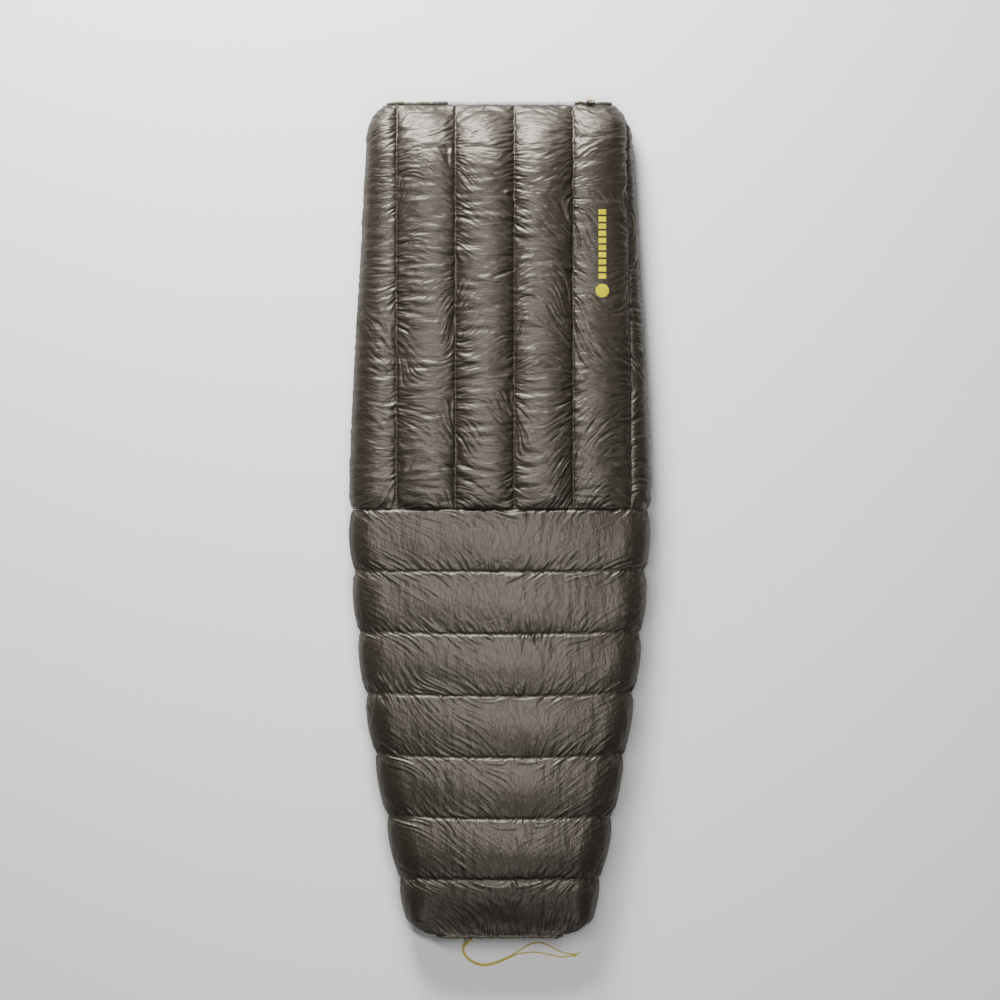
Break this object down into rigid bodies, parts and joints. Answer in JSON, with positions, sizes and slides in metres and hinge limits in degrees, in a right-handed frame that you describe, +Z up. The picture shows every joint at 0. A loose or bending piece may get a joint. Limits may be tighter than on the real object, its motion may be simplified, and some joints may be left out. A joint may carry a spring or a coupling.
{
  "type": "camp quilt",
  "caption": "Down camp quilt lying wrapped on its back seam, with lengthwise torso channels, crosswise foot chambers, a foot zip, drawcorded hems and a free yellow cord.",
  "frame": {"origin": "on the ground under the middle of the wrapped quilt, free cord left out", "axes": "+Y towards the head end, +Z up out of the quilt's top, +X to the right seen from above with the head up"},
  "size_m": [0.6822, 1.9753, 0.132],
  "materials": {
    "shell_nylon": "thin calendered nylon, satin, olive brown",
    "liner_nylon": "thin calendered nylon, light lavender grey",
    "down_fill": "matte down",
    "binding_tape": "matte woven tape, near black",
    "yellow_cord": "braided cord, yellow",
    "zip_tape": "woven zip tape, black",
    "black_plastic": "moulded black plastic",
    "spring_steel": "bright wire",
    "label_satin": "satin ribbon, blank"
  },
  "bodies": {
    "quilt": {"care_label": "label_satin", "down_foot_01": "down_fill", "down_foot_02": "down_fill", "down_foot_03": "down_fill", "down_foot_04": "down_fill", "down_foot_05": "down_fill", "down_foot_06": "down_fill", "down_foot_07": "down_fill", "down_torso_01": "down_fill", "down_torso_02": "down_fill", "down_torso_03": "down_fill", "down_torso_04": "down_fill", "down_torso_05": "down_fill", "down_torso_06": "down_fill", "down_torso_07": "down_fill", "down_torso_08": "down_fill", "down_torso_09": "down_fill", "down_torso_10": "down_fill", "edge_binding_left": "binding_tape", "edge_binding_right": "binding_tape", "foot_cord_knot": "yellow_cord", "foot_cord_strand_a": "yellow_cord", "foot_cord_strand_b": "yellow_cord", "foot_cord_tail": "yellow_cord", "foot_drawcord": "yellow_cord", "foot_eyelet": "black_plastic", "foot_hem": "shell_nylon", "liner_foot": "liner_nylon", "liner_torso": "liner_nylon", "neck_cord_loop": "yellow_cord", "neck_drawcord": "yellow_cord", "neck_eyelet": "black_plastic", "neck_hem": "shell_nylon", "neck_lock_barrel": "black_plastic", "neck_lock_spring": "spring_steel", "neck_snap_stud": "black_plastic", "neck_snap_tab_left": "binding_tape", "outer_shell_foot": "shell_nylon", "outer_shell_torso": "shell_nylon", "pad_loop_left_1": "binding_tape", "pad_loop_left_2": "binding_tape", "pad_loop_right_1": "binding_tape", "pad_loop_right_2": "binding_tape", "zip_draft_tube": "liner_nylon", "zip_insertion_pin": "black_plastic", "zip_retainer_box": "black_plastic", "zip_tape_left": "zip_tape", "zip_tape_right": "zip_tape", "zip_teeth_left": "black_plastic", "zip_teeth_right": "black_plastic", "zip_top_stop_left": "black_plastic", "zip_top_stop_right": "black_plastic"},
    "zip_slider": {"zip_slider": "black_plastic"},
    "zip_puller": {"zip_puller": "black_plastic"},
    "neck_lock_button": {"neck_lock_button": "black_plastic"},
    "neck_snap_tab": {"neck_snap_tab_right": "binding_tape", "neck_snap_socket": "black_plastic"}
  },
  "joints": [
    {"name": "zip_slide", "type": "slide", "parent": "quilt", "child": "zip_slider", "axis": [0, -1, 0], "range_m": [0, 0.505]},
    {"name": "zip_puller_swing", "type": "hinge", "parent": "zip_slider", "child": "zip_puller", "pos_m": [-0.033, -0.339, 0.0066], "axis": [1, 0, 0], "range_deg": [-12, 150]},
    {"name": "neck_lock_press", "type": "slide", "parent": "quilt", "child": "neck_lock_button", "axis": [-1, 0, 0], "range_m": [0, 0.003], "stiffness_N_per_m": 400, "springref_m": -0.002, "deforming": ["neck_lock_spring"]},
    {"name": "neck_snap_open", "type": "hinge", "parent": "quilt", "child": "neck_snap_tab", "pos_m": [-0.0208, 0.925, 0.0136], "axis": [0, 1, 0], "range_deg": [0, 60]}
  ]
}
